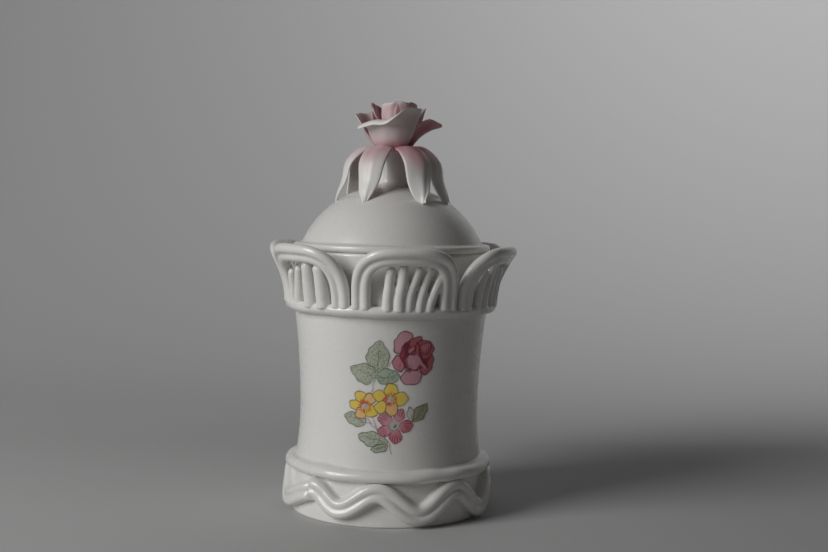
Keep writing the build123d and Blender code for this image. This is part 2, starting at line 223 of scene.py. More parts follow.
def glaze(name, painted=None, roughness=GLOSSY, coat=0.35):
    """Glaze over white clay. painted names a colour attribute that tints it."""
    material = bpy.data.materials.new(name)
    material.use_nodes = True
    tree = material.node_tree
    links = tree.links
    shader = tree.nodes["Principled BSDF"]
    place = node(tree, "ShaderNodeTexCoord")

    # Slow drift between a cooler and a warmer white.
    drift = node(tree, "ShaderNodeTexNoise", Scale=38.0, Detail=1.0, Roughness=0.4)
    links.new(place.outputs["Object"], drift.inputs["Vector"])
    tone = node(tree, "ShaderNodeMix", data_type="RGBA")
    tone.inputs["A"].default_value = (*GLAZE_WHITE, 1)
    tone.inputs["B"].default_value = (*GLAZE_WARM, 1)
    spread = node(tree, "ShaderNodeMapRange")
    spread.inputs["From Min"].default_value = 0.42
    spread.inputs["From Max"].default_value = 0.72
    links.new(drift.outputs["Fac"], spread.inputs["Value"])
    links.new(spread.outputs["Result"], tone.inputs["Factor"])
    colour = tone.outputs["Result"]

    # A few pinholes, where the glaze crawled off a speck of dust.
    cells = node(tree, "ShaderNodeTexVoronoi", Scale=130.0)
    links.new(place.outputs["Object"], cells.inputs["Vector"])
    near = node(tree, "ShaderNodeMath", operation="LESS_THAN")
    near.inputs[1].default_value = PINHOLE_SIZE
    links.new(cells.outputs["Distance"], near.inputs[0])
    split = node(tree, "ShaderNodeSeparateColor")
    links.new(cells.outputs["Color"], split.inputs["Color"])
    rare = node(tree, "ShaderNodeMath", operation="LESS_THAN")
    rare.inputs[1].default_value = PINHOLE_SHARE
    links.new(split.outputs["Red"], rare.inputs[0])
    pinhole = node(tree, "ShaderNodeMath", operation="MULTIPLY")
    links.new(near.outputs[0], pinhole.inputs[0])
    links.new(rare.outputs[0], pinhole.inputs[1])
    speck = node(tree, "ShaderNodeMix", data_type="RGBA")
    speck.inputs["B"].default_value = (*SPECK_BROWN, 1)
    links.new(pinhole.outputs[0], speck.inputs["Factor"])
    links.new(colour, speck.inputs["A"])
    colour = speck.outputs["Result"]

    if painted:
        paint = node(tree, "ShaderNodeVertexColor", layer_name=painted)
        tint = node(tree, "ShaderNodeMix", data_type="RGBA", blend_type="MULTIPLY")
        tint.inputs["Factor"].default_value = 1.0
        links.new(colour, tint.inputs["A"])
        links.new(paint.outputs["Color"], tint.inputs["B"])
        colour = tint.outputs["Result"]
    links.new(colour, shader.inputs["Base Color"])

    # The glaze is a little uneven in gloss and has a faint orange peel over a slow hand-made waviness.
    gloss = node(tree, "ShaderNodeTexNoise", Scale=160.0, Detail=2.0)
    links.new(place.outputs["Object"], gloss.inputs["Vector"])
    rough = node(tree, "ShaderNodeMapRange")
    rough.inputs["To Min"].default_value = roughness[0]
    rough.inputs["To Max"].default_value = roughness[1]
    links.new(gloss.outputs["Fac"], rough.inputs["Value"])
    links.new(rough.outputs["Result"], shader.inputs["Roughness"])
    peel = node(tree, "ShaderNodeTexNoise", Scale=420.0, Detail=1.0, Roughness=0.45)
    links.new(place.outputs["Object"], peel.inputs["Vector"])
    bump = node(tree, "ShaderNodeBump", Strength=0.08, Distance=0.00005)
    links.new(peel.outputs["Fac"], bump.inputs["Height"])
    slow = node(tree, "ShaderNodeTexNoise", Scale=60.0, Detail=0.0)
    links.new(place.outputs["Object"], slow.inputs["Vector"])
    waves = node(tree, "ShaderNodeBump", Strength=0.10, Distance=0.0003)
    links.new(slow.outputs["Fac"], waves.inputs["Height"])
    links.new(bump.outputs["Normal"], waves.inputs["Normal"])
    links.new(waves.outputs["Normal"], shader.inputs["Normal"])

    shader.inputs["Coat Weight"].default_value = coat
    shader.inputs["Coat Roughness"].default_value = 0.16
    shader.inputs["Coat IOR"].default_value = 1.5
    shader.inputs["Subsurface Weight"].default_value = 0.12
    shader.inputs["Subsurface Radius"].default_value = (1.0, 0.75, 0.6)
    shader.inputs["Subsurface Scale"].default_value = 0.0012
    return material


# ---------------------------------------------------------------- cup trim

def wall_sweep(line, profile, steps, closed):
    """A strip swept over the cup's wall.

    line(share) is (angle, z) of its middle. profile(share) lists (offset, height) points round its section:
    offset lies along the wall, square to the line, and height stands out of the wall.
    """
    rings = []
    tiny = 1e-4
    for i in range(steps):
        share = i / (steps if closed else steps - 1)
        angle, z = line(share)
        angle_b, z_b = line(share + tiny)
        angle_a, z_a = line(share - tiny)
        radius = cup_radius(z)
        along = unit(np.array((radians(angle_b - angle_a) * radius, z_b - z_a)))
        across = np.array((-along[1], along[0]))
        for offset, height in profile(share):
            z_here = z + across[1] * offset
            angle_here = angle + degrees(across[0] * offset / radius)
            rings.append(round_box(angle_here, cup_radius(z_here) + height, z_here))
    ring_size = len(profile(0.0))
    return rings, tube_faces(steps, ring_size, closed)


SKIRT = 0.75        # how far the glaze runs out beside a coil
BURIED = -0.7       # how far a strip's underside lies inside the wall


def skirted(outline):
    """Adds the glaze's run-out on both sides of an outline of (offset, height) points. Closes it below."""
    left_edge, right_edge = outline[0][0], outline[-1][0]
    curve = [(1.0, -0.12), (0.72, 0.0), (0.42, 0.10), (0.2, 0.27), (0.06, 0.5), (0.0, 0.85)]
    left = [(left_edge - SKIRT * out, up) for out, up in curve]
    right = [(right_edge + SKIRT * out, up) for out, up in reversed(curve)]
    return left + outline + right + [(right_edge, BURIED), (left_edge, BURIED)]


def rod_profile(rod, stands):
    """A rolled rod whose middle stands out of the wall by stands."""
    points = 13
    outline = []
    for i in range(points):
        a = pi * (1 - i / (points - 1))
        outline.append((rod * cos(a), stands + rod * sin(a)))
    return skirted(outline)


def coil(name, z, rod, stands, wobble, material, node_name):
    """A coil rolled and laid by hand: its height, thickness and reach wander a little."""
    thickest = 1.12

    def line(share):
        a = 2 * pi * share
        drift = wander(1.6 * cos(a), 1.6 * sin(a), z) + 0.5 * wander(4 * cos(a), 4 * sin(a), z)
        return 360 * share, z + wobble * drift

    def profile(share):
        a = 2 * pi * share
        thick = 1 + 0.14 * wander(2.4 * cos(a), 2.4 * sin(a), z + 9)
        return rod_profile(rod * min(thick, thickest), stands * min(thick, 1))

    points, faces = wall_sweep(line, profile, 360, True)
    return add_piece(name, points, faces, material, "box", (node_name,))


# Foot wave: the angle and height of each turn of the ribbon's middle line, crest and trough by turns.
WAVE_TURNS = (
    (-45.0, 10.3), (-27.0, 5.2), (-5.0, 10.7), (17.5, 4.1), (40.5, 10.9), (61.0, 3.6), (84.0, 10.8),
    (107.0, 4.0), (130.0, 10.7), (152.5, 4.4), (175.5, 10.6), (198.0, 3.9), (220.5, 10.8), (243.0, 4.2),
    (265.0, 10.7), (285.0, 4.4), (315.0, 8.9),
)
RIBBON_ROD = 1.6
RIBBON_HALF_PITCH = 1.4
WAVE_STANDS = 1.45


def wave_height(angle):
    for (start, low), (end, high) in zip(WAVE_TURNS, WAVE_TURNS[1:]):
        if angle <= end:
            return between(low, high, (1 - cos(pi * clamp((angle - start) / (end - start)))) / 2)
    return WAVE_TURNS[-1][1]


def twin_rod(swell_low, swell_high):
    """Outline over two rods pressed side by side, with glaze in the groove between them."""
    reach = RIBBON_HALF_PITCH + RIBBON_ROD
    points = 25
    outline = []
    for i in range(points):
        offset = -reach * cos(pi * i / (points - 1))
        swell = between(swell_low, swell_high, smooth((offset + 1) / 2))
        inside = RIBBON_ROD**2 - (abs(offset) - RIBBON_HALF_PITCH) ** 2
        groove = 0.28 * max(0.0, 1 - abs(offset) / 0.8) ** 2
        height = WAVE_STANDS + swell * sqrt(max(inside, 0.0)) * 0.97 + groove
        outline.append((offset * between(1.0, swell, 0.6), height))
    return skirted(outline)


def foot_wave(name, first, last, material, node_name):
    """One strip of the wave. Its start is cut square and stands proud, its end is pressed thin."""

    def line(share):
        angle = between(first, last, share)
        return angle, wave_height(angle)

    def profile(share):
        angle = between(first, last, share)
        a = radians(angle)
        low = 1 + 0.10 * wander(3 * cos(a), 3 * sin(a), 1)
        high = 1 + 0.10 * wander(3 * cos(a), 3 * sin(a), 2)
        from_start, from_end = share * (last - first), (1 - share) * (last - first)
        thin_end = between(0.35, 1.0, smooth(from_end / 7.0))
        cut_corner = between(0.8, 1.0, sqrt(clamp(from_start / 0.6)))
        proud_start = between(1.3, 1.0, smooth(from_start / 9.0))
        press = thin_end * cut_corner * proud_start
        return [(offset * between(0.92, 1, press), height * press if height > 0 else height)
                for offset, height in twin_rod(low, high)]

    points, faces = wall_sweep(line, profile, 420, False)
    return add_piece(name, points, faces, material, "box", (node_name,))


# ---------------------------------------------------------------- printed spray

PRINT_LOW = (-15.2, 20.8)
PRINT_HIGH = (15.2, 61.0)
PRINT_STEP = 0.13
PRINT_STANDS = 0.05     # above the cup's faceted wall
CRIMSON = (0.40, 0.03, 0.07)
DEEP_CRIMSON = (0.15, 0.012, 0.028)
ROSE_PINK = (0.72, 0.26, 0.34)
MAUVE = (0.74, 0.37, 0.46)
DUSKY = (0.58, 0.13, 0.17)
SAGE = (0.55, 0.60, 0.47)
DARK_GREEN = (0.045, 0.075, 0.04)
OLIVE = (0.20, 0.15, 0.035)
YELLOW = (0.98, 0.74, 0.10)
APRICOT = (1.0, 0.62, 0.26)
THROAT = (0.72, 0.09, 0.025)
GREY = (0.62, 0.62, 0.58)
STALK = (0.48, 0.32, 0.40)


class Print:
    """A painting in enamels on a grid of points: u to the right along the wall and v up, in millimetres.

    A shape is a field of distances, below zero inside it.
    """

    def __init__(self):
        u = np.arange(PRINT_LOW[0], PRINT_HIGH[0], PRINT_STEP)
        v = np.arange(PRINT_LOW[1], PRINT_HIGH[1], PRINT_STEP)
        flat_u, flat_v = np.meshgrid(u, v, indexing="ij")
        self.flat = flat_u, flat_v
        # The shapes are drawn with a slight tremor.
        self.u = flat_u + 0.16 * np.sin(1.9 * flat_v + 1.1 * flat_u)
        self.v = flat_v + 0.16 * np.sin(1.7 * flat_u - 1.3 * flat_v)
        self.tint = np.ones(flat_u.shape + (3,))
        self.cover = np.zeros(flat_u.shape)
        # Two patterns from -1 to 1, one in soft patches and one in fine dots.
        sway_u = 2.3 * np.sin(1.3 * flat_v + 0.7 * flat_u)
        sway_v = 2.1 * np.sin(1.1 * flat_u - 0.9 * flat_v)
        patches = np.sin(3.1 * flat_u + 1.7 * flat_v + sway_v)
        self.mottle = patches * np.sin(2.3 * flat_v - 3.7 * flat_u + sway_u)
        dots = np.sin(8.7 * flat_u + 5.1 * flat_v + sway_u)
        self.grain = dots * np.sin(7.3 * flat_v - 6.9 * flat_u + sway_v)

    def lay(self, distance, colour, strength=1.0):
        """Lays a colour inside a shape."""
        amount = (np.clip(0.5 - distance / 0.16, 0, 1) * strength)[..., None]
        self.tint = self.tint * (1 - amount) + np.array(colour) * amount
        self.cover = np.maximum(self.cover, amount[..., 0])

    def line(self, distance, colour, width, strength=1.0):
        """Draws along a shape's edge."""
        self.lay(abs(distance) - width / 2, colour, strength)

    def oval(self, centre, radii, tilt=0.0):
        """An oval shape, turned anticlockwise by tilt degrees."""
        x, y = self.u - centre[0], self.v - centre[1]
        c, s = cos(radians(tilt)), sin(radians(tilt))
        return (np.hypot((x * c + y * s) / radii[0], (y * c - x * s) / radii[1]) - 1) * min(radii)

    def stroke(self, points, width):
        """A brush stroke along a polyline."""
        distance = np.full(self.u.shape, 1e3)
        for (ax, ay), (bx, by) in zip(points, points[1:]):
            dx, dy = bx - ax, by - ay
            t = np.clip(((self.u - ax) * dx + (self.v - ay) * dy) / (dx * dx + dy * dy), 0, 1)
            distance = np.minimum(distance, np.hypot(self.u - ax - t * dx, self.v - ay - t * dy))
        return distance - width / 2

    def leaf(self, base, tip, width, colour=SAGE, full=0.85):
        """A sage leaf with a stippled blade, a broken outline and a midrib."""
        dx, dy = tip[0] - base[0], tip[1] - base[1]
        length = sqrt(dx * dx + dy * dy)
        t = ((self.u - base[0]) * dx + (self.v - base[1]) * dy) / length**2
        s = ((self.v - base[1]) * dx - (self.u - base[0]) * dy) / length
        inside = np.clip(t, 0, 1)
        half = width / 2 * np.sin(pi * inside**full) ** 0.7
        distance = np.maximum(abs(s) - half, np.maximum(-t, t - 1) * length)
        self.lay(distance, np.array(colour), 0.92)
        self.lay(distance + 0.3, np.array(colour) * 0.78, 0.5 * (self.mottle > 0.1))
        self.lay(distance + 0.35, DARK_GREEN, 0.9 * (self.grain > 0.45) * (self.mottle > 0.0))
        self.line(distance, DARK_GREEN, 0.34, 0.60 + 0.35 * (self.grain > 0))
        rib = np.maximum(abs(s + 0.25 * np.sin(pi * inside)) - 0.09, np.maximum(0.06 - t, t - 0.72) * length)
        self.lay(rib, DARK_GREEN, 0.75)

    def blossom(self, centre, petals, colours, edge):
        """Petals round a centre: each is (x, y, radius) from the centre."""
        for (x, y, radius), colour in zip(petals, colours):
            tilt = degrees(atan2(y, x))
            shape = self.oval((centre[0] + x, centre[1] + y), (radius * 1.12, radius), tilt)
            self.lay(shape, colour, 0.95)
            self.lay(shape + radius * 0.7, np.array(colour) * (1.0, 0.92, 0.8), 0.5)
            self.line(shape, edge, 0.28, 0.9)

    def rays(self, centre, near, far, count, colour, strength, sharp=0.35):
        """Fine strokes that run out from a centre."""
        x, y = self.u - centre[0], self.v - centre[1]
        reach = np.hypot(x, y)
        comb = np.cos(np.arctan2(y, x) * count) > sharp
        band = np.clip((reach - near) / 0.3, 0, 1) * np.clip((far - reach) / 0.5, 0, 1)
        self.lay(np.where(comb, -1.0, 1.0), colour, strength * band)


def paint_yellow(art, centre, petals, colours, throat_at):
    art.blossom(centre, petals, colours, OLIVE)
    art.rays(centre, 0.8, 2.3, 17, THROAT, 0.95, sharp=0.0)
    for x, y, radius in throat_at:
        art.lay(art.oval((centre[0] + x, centre[1] + y), (radius, radius)), THROAT, 0.7)
    art.lay(art.oval(centre, (0.85, 0.85)), GREY)
    art.lay(art.oval((centre[0] + 0.15, centre[1] - 0.1), (0.3, 0.3)), OLIVE, 0.5)


def paint_pink(art):
    centre = (1.7, 30.7)
    petals = ((-2.7, 2.1, 2.0), (1.5, 3.3, 1.6), (3.6, -0.2, 1.8), (0.5, -3.2, 1.9), (-3.0, -1.6, 1.7))
    art.blossom(centre, petals, (MAUVE, MAUVE, ROSE_PINK, ROSE_PINK, MAUVE), CRIMSON)
    inside = np.minimum.reduce([art.oval((centre[0] + x, centre[1] + y), (r, r)) for x, y, r in petals])
    for near, far, strength in ((2.7, 5.6, 0.75), (3.6, 5.6, 0.35)):
        x, y = art.u - centre[0], art.v - centre[1]
        reach = np.hypot(x, y)
        comb = np.cos(np.arctan2(y, x) * 38) > 0.0
        band = np.clip((reach - near) / 0.8, 0, 1) * (reach < far) * comb
        art.lay(inside + 0.1, CRIMSON, strength * band)
    art.lay(art.oval(centre, (2.3, 2.2)), MAUVE, 0.75)
    art.lay(art.oval(centre, (1.45, 1.4)), GREY)
    ring = art.oval(centre, (1.45, 1.4))
    art.line(ring, DARK_GREEN, 0.22, 0.75 * (art.v < centre[1] + 0.3) * (art.grain > -0.3))
    art.lay(art.oval((centre[0] + 0.2, centre[1]), (0.3, 0.55), -20), DARK_GREEN, 0.8)


def paint_rose(art):
    petals = (
        ((6.6, 45.4), (3.2, 2.3), 8.0, MAUVE), ((11.3, 49.6), (2.2, 3.5), -12.0, DUSKY),
        ((2.7, 49.6), (1.8, 2.4), 10.0, ROSE_PINK), ((3.9, 55.9), (2.5, 3.7), -28.0, MAUVE),
        ((7.7, 52.2), (4.6, 4.6), 0.0, CRIMSON), ((7.6, 56.2), (2.3, 1.3), 35.0, DUSKY),
        ((10.6, 53.8), (3.0, 2.9), 0.0, DUSKY), ((10.7, 54.2), (2.0, 1.5), 25.0, ROSE_PINK),
        ((6.4, 53.6), (1.4, 0.75), 50.0, ROSE_PINK), ((6.8, 50.0), (2.5, 2.3), -15.0, MAUVE),
    )
    for centre, radii, tilt, colour in petals:
        shape = art.oval(centre, radii, tilt)
        art.lay(shape, colour, 0.96)
        art.lay(shape + min(radii) * 0.55, np.array(colour) * (1.0, 1.15, 1.15), 0.4)
        art.line(shape, DEEP_CRIMSON, 0.30, 0.85)
    left_shadow = art.stroke([(4.7, 55.5), (5.0, 53.2), (4.7, 50.5), (5.0, 48.0), (6.0, 47.4)], 1.3)
    art.lay(left_shadow, DEEP_CRIMSON, 0.7)
    art.lay(art.stroke([(9.2, 51.6), (10.6, 50.4), (11.2, 48.9)], 1.3), DEEP_CRIMSON, 0.7)
    art.lay(art.stroke([(7.9, 52.2), (9.0, 51.0), (9.6, 49.4), (10.8, 48.2)], 0.65), MAUVE, 0.95)
    art.lay(art.oval((10.6, 54.0), (2.4, 2.1)), CRIMSON, 0.7 * (art.mottle > 0.1))
    art.lay(art.stroke([(8.2, 55.8), (9.2, 54.6), (9.0, 52.8), (9.6, 51.6)], 0.5), DEEP_CRIMSON, 0.8)
    art.rays((4.6, 48.6), 0.9, 2.4, 23, CRIMSON, 0.5)


def paint_spray():
    art = Print()
    stalks = (
        ((-4.3, 44.2), (-4.9, 42.6), (-5.4, 40.0)), ((-1.0, 48.0), (0.2, 49.5), (1.2, 50.4)),
        ((-7.4, 33.4), (-5.4, 31.2), (-2.9, 28.9)), ((-4.9, 33.6), (-4.2, 30.8), (-2.9, 28.9)),
        ((-6.4, 31.2), (-5.2, 31.4)), ((-2.9, 28.9), (-0.8, 26.8), (0.5, 24.6), (0.9, 22.1)),
    )
    for points in stalks:
        art.lay(art.stroke(points, 0.26), STALK, 0.85)
    art.leaf((-3.9, 46.9), (-3.3, 56.5), 7.0)
    art.leaf((-4.2, 45.0), (-12.0, 47.9), 6.0, full=0.75)
    art.leaf((-4.2, 45.2), (3.2, 45.9), 4.8, colour=(0.45, 0.55, 0.42))
    art.leaf((-6.7, 31.3), (-14.0, 33.4), 4.0)
    art.leaf((-0.3, 25.5), (-9.3, 27.4), 4.6)
    art.leaf((0.0, 24.5), (-5.1, 23.2), 2.5)
    art.leaf((7.3, 31.9), (11.9, 37.3), 3.6, colour=(0.42, 0.42, 0.27))
    husk = art.oval((6.6, 34.2), (1.0, 2.2), 8)
    art.lay(husk, GREY, 0.6)
    art.line(husk, DEEP_CRIMSON, 0.22, 0.8)
    paint_pink(art)
    paint_yellow(
        art, (-7.3, 36.3),
        ((-3.1, 0.3, 1.6), (-1.4, 2.8, 1.7), (-1.2, -2.0, 1.7), (1.8, -1.3, 1.9), (1.5, 2.3, 1.7)),
        (YELLOW, YELLOW, APRICOT, YELLOW, APRICOT), ((-0.9, 1.3, 0.7), (0.7, 1.2, 0.6)),
    )
    paint_yellow(
        art, (0.6, 38.7),
        ((-3.6, 1.0, 1.7), (0.0, 2.7, 2.0), (2.7, 0.2, 2.1), (-3.0, -2.4, 1.8), (0.2, -2.8, 1.9)),
        (YELLOW, YELLOW, YELLOW, YELLOW, APRICOT), ((-1.7, 0.0, 0.8), (-0.4, -1.3, 0.7), (1.3, 0.2, 0.5)),
    )
    paint_rose(art)
    return art


def printed_spray(material):
    """The print, as a film laid on the cup and cut to what is painted."""
    art = paint_spray()
    count_u, count_v = art.cover.shape
    u, v = art.flat
    wall = np.array([cup_radius(z) for z in v[0]])[None, :]
    reach = wall + PRINT_STANDS
    points = np.stack([reach * np.sin(u / wall), -reach * np.cos(u / wall), v], axis=2)
    painted = art.cover > 0.04
    cell = painted[:-1, :-1] | painted[1:, :-1] | painted[:-1, 1:] | painted[1:, 1:]
    index = np.arange(count_u * count_v).reshape(count_u, count_v)
    corners = [index[:-1, :-1], index[1:, :-1], index[1:, 1:], index[:-1, 1:]]
    quads = np.stack([corner[cell] for corner in corners], axis=1)
    used, quads = np.unique(quads, return_inverse=True)
    quads = quads.reshape(-1, 4)
    piece = add_piece(
        "printed_spray", points.reshape(-1, 3)[used], quads.tolist(), material, "box",
    )
    ink = piece.data.color_attributes.new("ink", "FLOAT_COLOR", "POINT")
    values = np.ones((len(used), 4), dtype=np.float32)
    values[:, :3] = art.tint.reshape(-1, 3)[used]
    ink.data.foreach_set("color", values.ravel())


# ---------------------------------------------------------------- gallery

ARCH_EDGES = (-21.5, 37.0, 98.0, 158.5, 218.5, 278.5, 338.5)
ARCH_GAP = 0.5
ARCH_SINK = 0.9
ARCH_FOOT_RADIUS = 32.6
ARCH_LEAN = 0.03
ARCH_FLARE = 0.0215
ARCH_RISE = 15.1
ARCH_SQUARENESS = 3.3
RIBBON_REACH = RIBBON_ROD + RIBBON_HALF_PITCH
FINGER_RISE = 11.2
FINGER_LEAN = 2.0
# The rods in each arch: share of the way across the opening, radius, degrees that the tip leads the foot, and
# how much shorter the rod is than FINGER_RISE.
FINGER_ROWS = (
    (
        (0.26, 1.60, 2.0, 0.6), (0.43, 1.75, 1.5, 0.0), (0.60, 1.40, 5.0, 0.3), (0.76, 1.40, 5.5, 0.6),
        (0.92, 1.45, 6.0, 1.8),
    ),
    (
        (0.16, 1.50, 3.0, 1.6), (0.34, 1.65, 4.0, 0.4), (0.52, 1.45, 3.0, 0.0), (0.69, 1.60, 5.0, 0.2),
        (0.87, 1.50, 5.0, 1.2),
    ),
    ((0.15, 1.60, 1.0, 1.2), (0.35, 1.80, 3.0, 0.2), (0.56, 1.50, 4.0, 0.0), (0.76, 1.70, 3.0, 0.8)),
    (
        (0.14, 1.45, 3.0, 1.4), (0.31, 1.60, 2.0, 0.3), (0.50, 1.70, 4.0, 0.0), (0.68, 1.40, 5.0, 0.4),
        (0.86, 1.60, 4.0, 1.4),
    ),
    ((0.17, 1.70, 2.0, 1.0), (0.38, 1.50, 4.0, 0.2), (0.57, 1.70, 2.0, 0.0), (0.79, 1.60, 4.0, 1.0)),
    ((0.14, 1.40, 4.0, 2.6), (0.33, 1.50, 5.0, 1.4), (0.60, 2.05, 1.0, 0.2), (0.84, 2.15, -1.0, 0.8)),
)


def arch_radius(z):
    up = z - GALLERY_COIL_TOP
    return ARCH_FOOT_RADIUS + ARCH_LEAN * up + ARCH_FLARE * up * abs(up)


def loft(sections):
    """Points and faces of a closed skin over a list of rings of points."""
    return [p for ring in sections for p in ring], tube_faces(len(sections), len(sections[0]), False)


def arch(left_edge, right_edge, seed):
    """The twin-rod ribbon bent into an upturned U."""
    half_ribbon = RIBBON_REACH + ARCH_GAP / 2
    half_span = (right_edge - left_edge) / 2 - degrees(half_ribbon / ARCH_FOOT_RADIUS)
    middle = (left_edge + right_edge) / 2
    rise = ARCH_RISE + ARCH_SINK
    squareness = ARCH_SQUARENESS + 0.25 * wander(seed)
    power = 2 / squareness
    skew = 0.9 * wander(seed, 5)

    def point(share):
        inside = clamp(share)
        a = pi * inside
        side = -half_span * abs(cos(a)) ** power * (1 if cos(a) >= 0 else -1)
        side += skew * sin(a)
        up = rise * abs(sin(a)) ** power - abs(share - inside) * rise
        z = GALLERY_COIL_TOP - ARCH_SINK + up
        sag = 0.25 * wander(seed, share * 3)
        return round_box(middle + side, arch_radius(z) + sag * sin(a), z)

    sections = []
    steps = 96
    size = 36
    for i in range(steps + 1):
        share = i / steps
        here = point(share)
        along = unit(point(share + 1e-4) - point(share - 1e-4))
        flat = unit(np.array((here[0], here[1], 0)))
        slope = ARCH_LEAN + 2 * ARCH_FLARE * abs(here[2] - GALLERY_COIL_TOP)
        outward = unit(flat - np.array((0, 0, slope)))
        side = unit(np.cross(along, outward))
        outward = np.cross(side, along)
        swell = 1 + 0.05 * wander(seed, share * 4, 3)
        ring = []
        for k in range(size):
            a = 2 * pi * k / size
            reach = RIBBON_HALF_PITCH * abs(cos(a))
            reach += sqrt(RIBBON_ROD**2 - (RIBBON_HALF_PITCH * sin(a)) ** 2)
            ring.append(here + (side * cos(a) + outward * sin(a)) * reach * swell)
        sections.append(ring)
    return loft(sections)


def rod_through(points, radii):
    """A round rod along points, with a rounded tip."""
    sections = []
    size = 16
    points = [np.array(p) for p in points]
    for i, here in enumerate(points):
        along = unit(points[min(i + 1, len(points) - 1)] - points[max(i - 1, 0)])
        side = unit(np.cross(along, np.array((0.0, 1.0, 0.13))))
        up = np.cross(side, along)
        turns = [2 * pi * k / size for k in range(size)]
        sections.append([here + (side * cos(a) + up * sin(a)) * radii[i] for a in turns])
    return loft(sections)


def fingers(left_edge, right_edge, row, seed):
    """The rolled ends that stand side by side in an arch, leaning the way they were laid."""
    leg = degrees((2 * RIBBON_REACH + ARCH_GAP / 2) / ARCH_FOOT_RADIUS)
    parts = []
    for i, (place, rod, slant, shorter) in enumerate(row):
        kind = seed * 10 + i
        centre = between(left_edge + leg, right_edge - leg, place) - slant / 2
        tip_z = GALLERY_COIL_TOP + FINGER_RISE - shorter
        foot_z = GALLERY_COIL_TOP - 1.4
        lean = FINGER_LEAN + 0.8 * wander(kind, 2)
        points, radii = [], []
        steps = 14
        for k in range(steps + 1):
            t = k / steps
            z = between(foot_z, tip_z, t)
            angle = centre + slant * t**1.5 + 0.7 * wander(kind, t * 2)
            points.append(round_box(angle, ARCH_FOOT_RADIUS - 0.1 + lean * t**1.6, z))
            radii.append(rod * between(1.12, 0.95, t) * (1 + 0.06 * wander(kind, t * 4, 5)))
        # Rounded tip.
        last = points[-1]
        ahead = unit(points[-1] - points[-2])
        for k in range(1, 6):
            a = k / 5 * 0.48 * pi
            points.append(last + ahead * radii[steps] * sin(a))
            radii.append(radii[steps] * cos(a))
        parts.append(rod_through(points, radii))
    return parts


def coil_core(left_edge, right_edge):
    """The stretch of the gallery coil under one arch, just inside the coil's own skin."""
    sections = []
    size = 20
    steps = 30
    for i in range(steps + 1):
        angle = between(left_edge + 0.6, right_edge - 0.6, i / steps)
        ring = []
        for k in range(size):
            a = 2 * pi * k / size
            rod = GALLERY_COIL_ROD - 0.22
            ring.append(round_box(angle, COIL_RING_GALLERY + rod * cos(a), GALLERY_COIL_Z + rod * sin(a)))
        sections.append(ring)
    return loft(sections)


def gallery(material):
    for i, (left_edge, right_edge, row) in enumerate(zip(ARCH_EDGES, ARCH_EDGES[1:], FINGER_ROWS), 1):
        parts = [arch(left_edge, right_edge, i), coil_core(left_edge, right_edge)]
        parts += fingers(left_edge, right_edge, row, i)
        melt(
            f"gallery_{i}", parts, 0.30, 7, material, "box",
            (f"gallery_arch_{i}", f"gallery_fingers_{i}"),
        )


# ---------------------------------------------------------------- finial

def sheet(name, point, blush, thickness, material, replaced, across=29, along=37):
    """A thin sheet of clay with a rounded edge.

    point(side, share) is on its middle surface, side from -1 to 1 and share from foot to lip. thickness(side,
    share) is its thickness there, and blush(side, share, front) the pink on each face, from 0 to 1.
    """
    sides = [-1 + 2 * i / (across - 1) for i in range(across)]
    shares = [j / (along - 1) for j in range(along)]
    grid = np.array([[point(side, share) for share in shares] for side in sides])
    du = np.gradient(grid, axis=0)
    dv = np.gradient(grid, axis=1)
    normal = np.cross(du, dv)
    normal /= np.linalg.norm(normal, axis=2, keepdims=True)
    half = np.zeros((across, along, 1))
    tint = np.zeros((2, across, along))
    for i, side in enumerate(sides):
        for j, share in enumerate(shares):
            edge = min(1 - abs(side), (1 - share) * 1.3)
            round_edge = sqrt(1 - (1 - clamp(edge / 0.10)) ** 2)
            half[i, j, 0] = thickness(side, share) / 2 * between(0.22, 1.0, round_edge)
            for face in (0, 1):
                tint[face, i, j] = blush(side, share, face)
    points = list((grid + normal * half).reshape(-1, 3)) + list((grid - normal * half).reshape(-1, 3))
    count = across * along
    faces = []
    for i in range(across - 1):
        for j in range(along - 1):
            a, b = i * along + j, (i + 1) * along + j
            faces.append((a, b, b + 1, a + 1))
            faces.append((count + a, count + a + 1, count + b + 1, count + b))
    rim = [i * along for i in range(across)]
    rim += [(across - 1) * along + j for j in range(1, along)]
    rim += [i * along + along - 1 for i in range(across - 2, -1, -1)]
    rim += [j for j in range(along - 2, 0, -1)]
    for a, b in zip(rim, rim[1:] + rim[:1]):
        faces.append((a, count + a, count + b, b))
    piece = add_piece(name, points, faces, material, "lid", replaced)
    paint_blush(piece, tint.reshape(-1))
    smoother = piece.modifiers.new("smooth", "SUBSURF")
    smoother.levels = smoother.render_levels = 1
    return piece


def paint_blush(piece, amounts):
    """Stores a multiplying tint, from white to pink, as the colour attribute 'blush'."""
    colours = piece.data.color_attributes.new("blush", "FLOAT_COLOR", "POINT")
    values = np.ones((len(amounts), 4))
    amounts = np.clip(np.asarray(amounts), 0, 1)[:, None]
    pink = np.array(BLUSH_PINK) / np.array(GLAZE_WHITE)
    values[:, :3] = 1 + (pink - 1) * amounts
    colours.data.foreach_set("color", values.astype(np.float32).ravel())


def across_sheet(angle, radius, z, lean, offset, bend, inward):
    """A point of a sheet, offset to the side of its middle line and bent across to the radius bend."""
    turn = offset / bend
    depth = bend * (1 - cos(turn)) + inward
    out = radius - cos(lean) * depth
    a = radians(angle)
    sideways = bend * sin(turn)
    x = out * sin(a) + sideways * cos(a)
    y = -out * cos(a) + sideways * sin(a)
    return np.array((x, y, z + sin(lean) * depth))


PETAL_FOOT_SHARE = 0.45
PETAL_LIP_STARTS = 0.58


